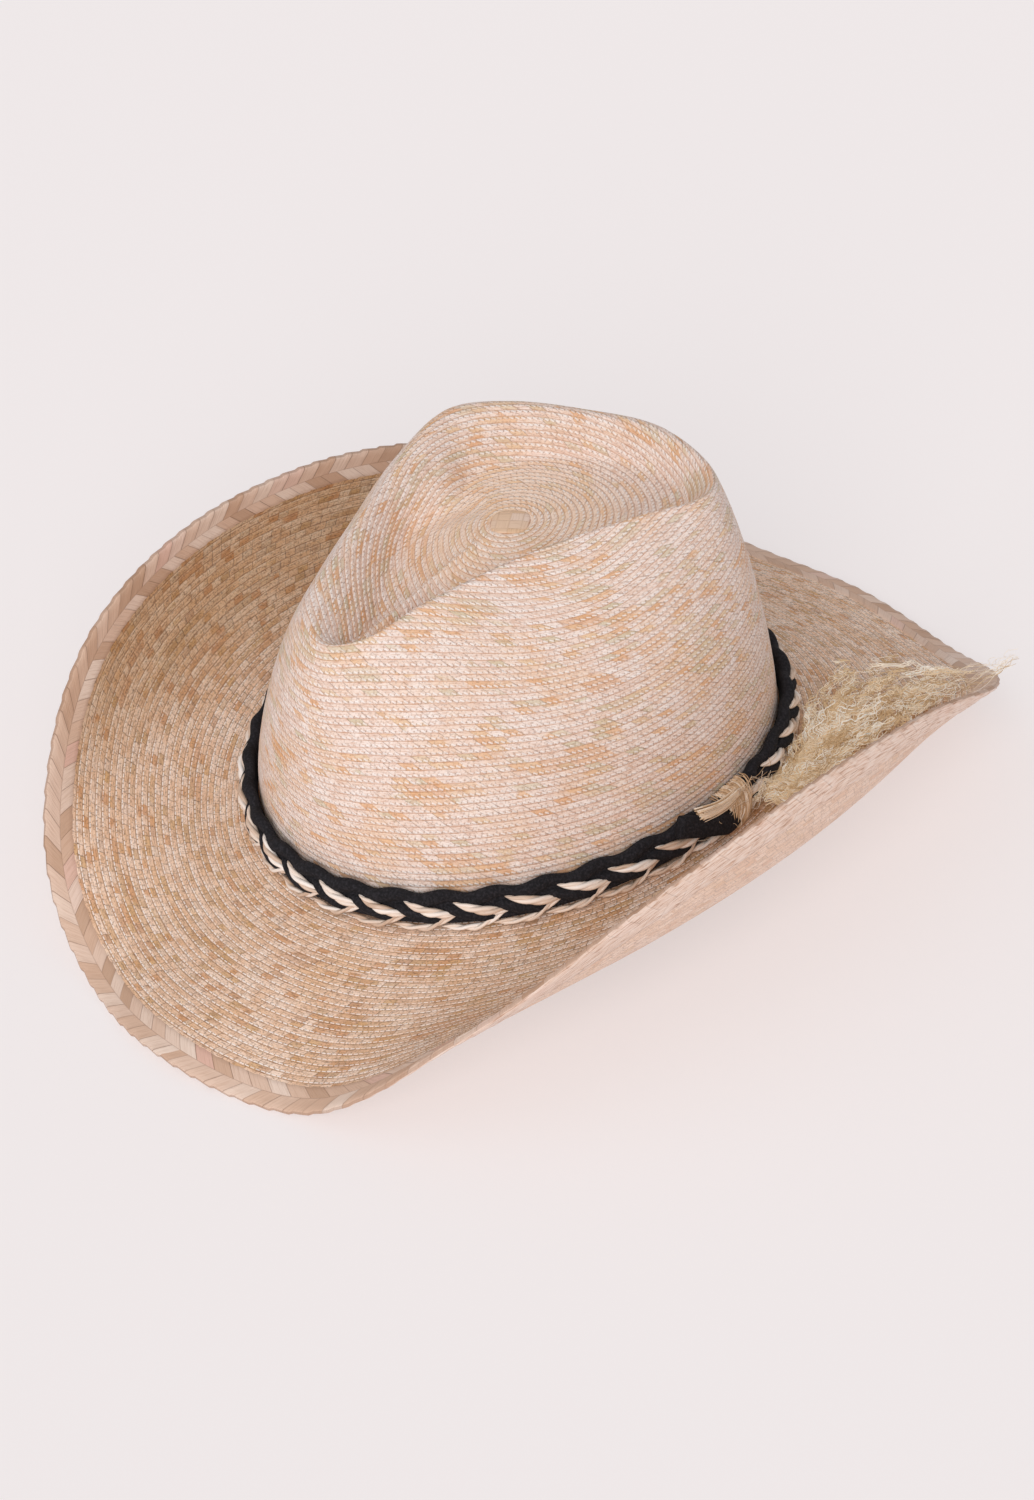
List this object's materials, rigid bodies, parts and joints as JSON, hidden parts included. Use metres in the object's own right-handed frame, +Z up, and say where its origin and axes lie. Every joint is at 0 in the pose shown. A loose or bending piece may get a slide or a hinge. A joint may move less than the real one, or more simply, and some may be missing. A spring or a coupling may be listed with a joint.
{
  "type": "straw cowboy hat",
  "caption": "Woven straw cowboy hat with a teardrop-dented crown, a brim rolled up at the sides, a plaited cord band and a fringed tassel.",
  "frame": {"origin": "middle of the hat's box on the surface that it rests on", "axes": "+Y towards the back of the hat, +X towards the wearer's left, +Z up"},
  "size_m": [0.2876, 0.3522, 0.1438],
  "materials": {
    "palm_straw": "sewn palm braid, natural, slightly glossy",
    "edge_straw": "flat plaited palm leaf, natural",
    "black_cord": "soft cotton cord, matt",
    "natural_fibre": "agave fibre, natural"
  },
  "bodies": {
    "root": {"crown": "palm_straw", "brim": "palm_straw", "edge_braid": "edge_straw", "hat_band": "black_cord", "band_knot": "natural_fibre", "cord_end": "black_cord", "tassel": "natural_fibre"}
  },
  "joints": []
}
